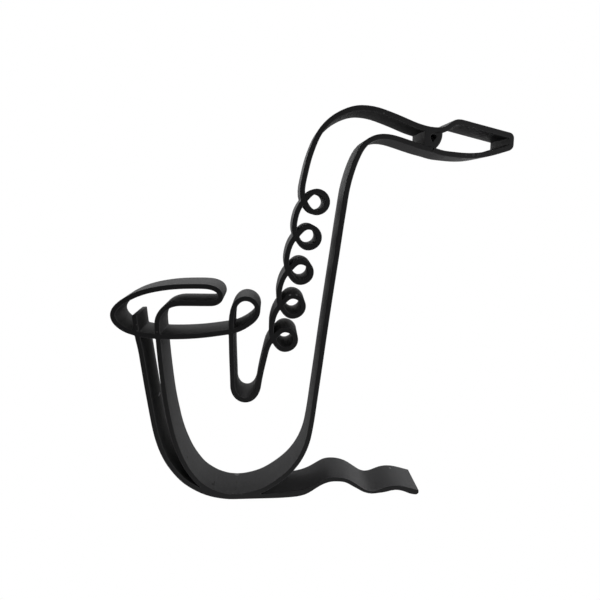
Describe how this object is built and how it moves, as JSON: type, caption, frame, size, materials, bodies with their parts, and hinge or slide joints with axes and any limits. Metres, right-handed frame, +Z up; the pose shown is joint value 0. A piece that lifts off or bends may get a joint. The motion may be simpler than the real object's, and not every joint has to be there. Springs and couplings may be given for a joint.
{
  "type": "saxophone figure stand",
  "caption": "Free-standing saxophone outline made of one flat strip, resting on its bow and a waved foot.",
  "frame": {"origin": "middle of the footprint's box, on the surface that the figure stands on", "axes": "+Z up, +X towards the mouthpiece, front of the drawing towards -Y"},
  "size_m": [0.1824, 0.022, 0.1846],
  "materials": {
    "black_print": "matt layered black"
  },
  "bodies": {
    "root": {"foot": "black_print", "base": "black_print", "outer_bow": "black_print", "inner_bow": "black_print", "bow_elbow": "black_print", "body_tube": "black_print", "bell_rim_front": "black_print", "bell_rim_back": "black_print", "bell_hook": "black_print", "bell_prong": "black_print", "bell_key_loop": "black_print", "guard_left_leg": "black_print", "guard_bend": "black_print", "guard_right_leg": "black_print", "key_loop_1": "black_print", "key_loop_2": "black_print", "key_loop_3": "black_print", "key_loop_4": "black_print", "key_loop_5": "black_print", "key_rod_1": "black_print", "key_rod_2": "black_print", "key_rod_3": "black_print", "key_rod_4": "black_print", "neck_upper": "black_print", "neck_lower": "black_print", "neck_ring": "black_print", "mouthpiece_beak": "black_print", "mouthpiece_tip": "black_print", "mouthpiece_reed": "black_print"}
  },
  "joints": []
}
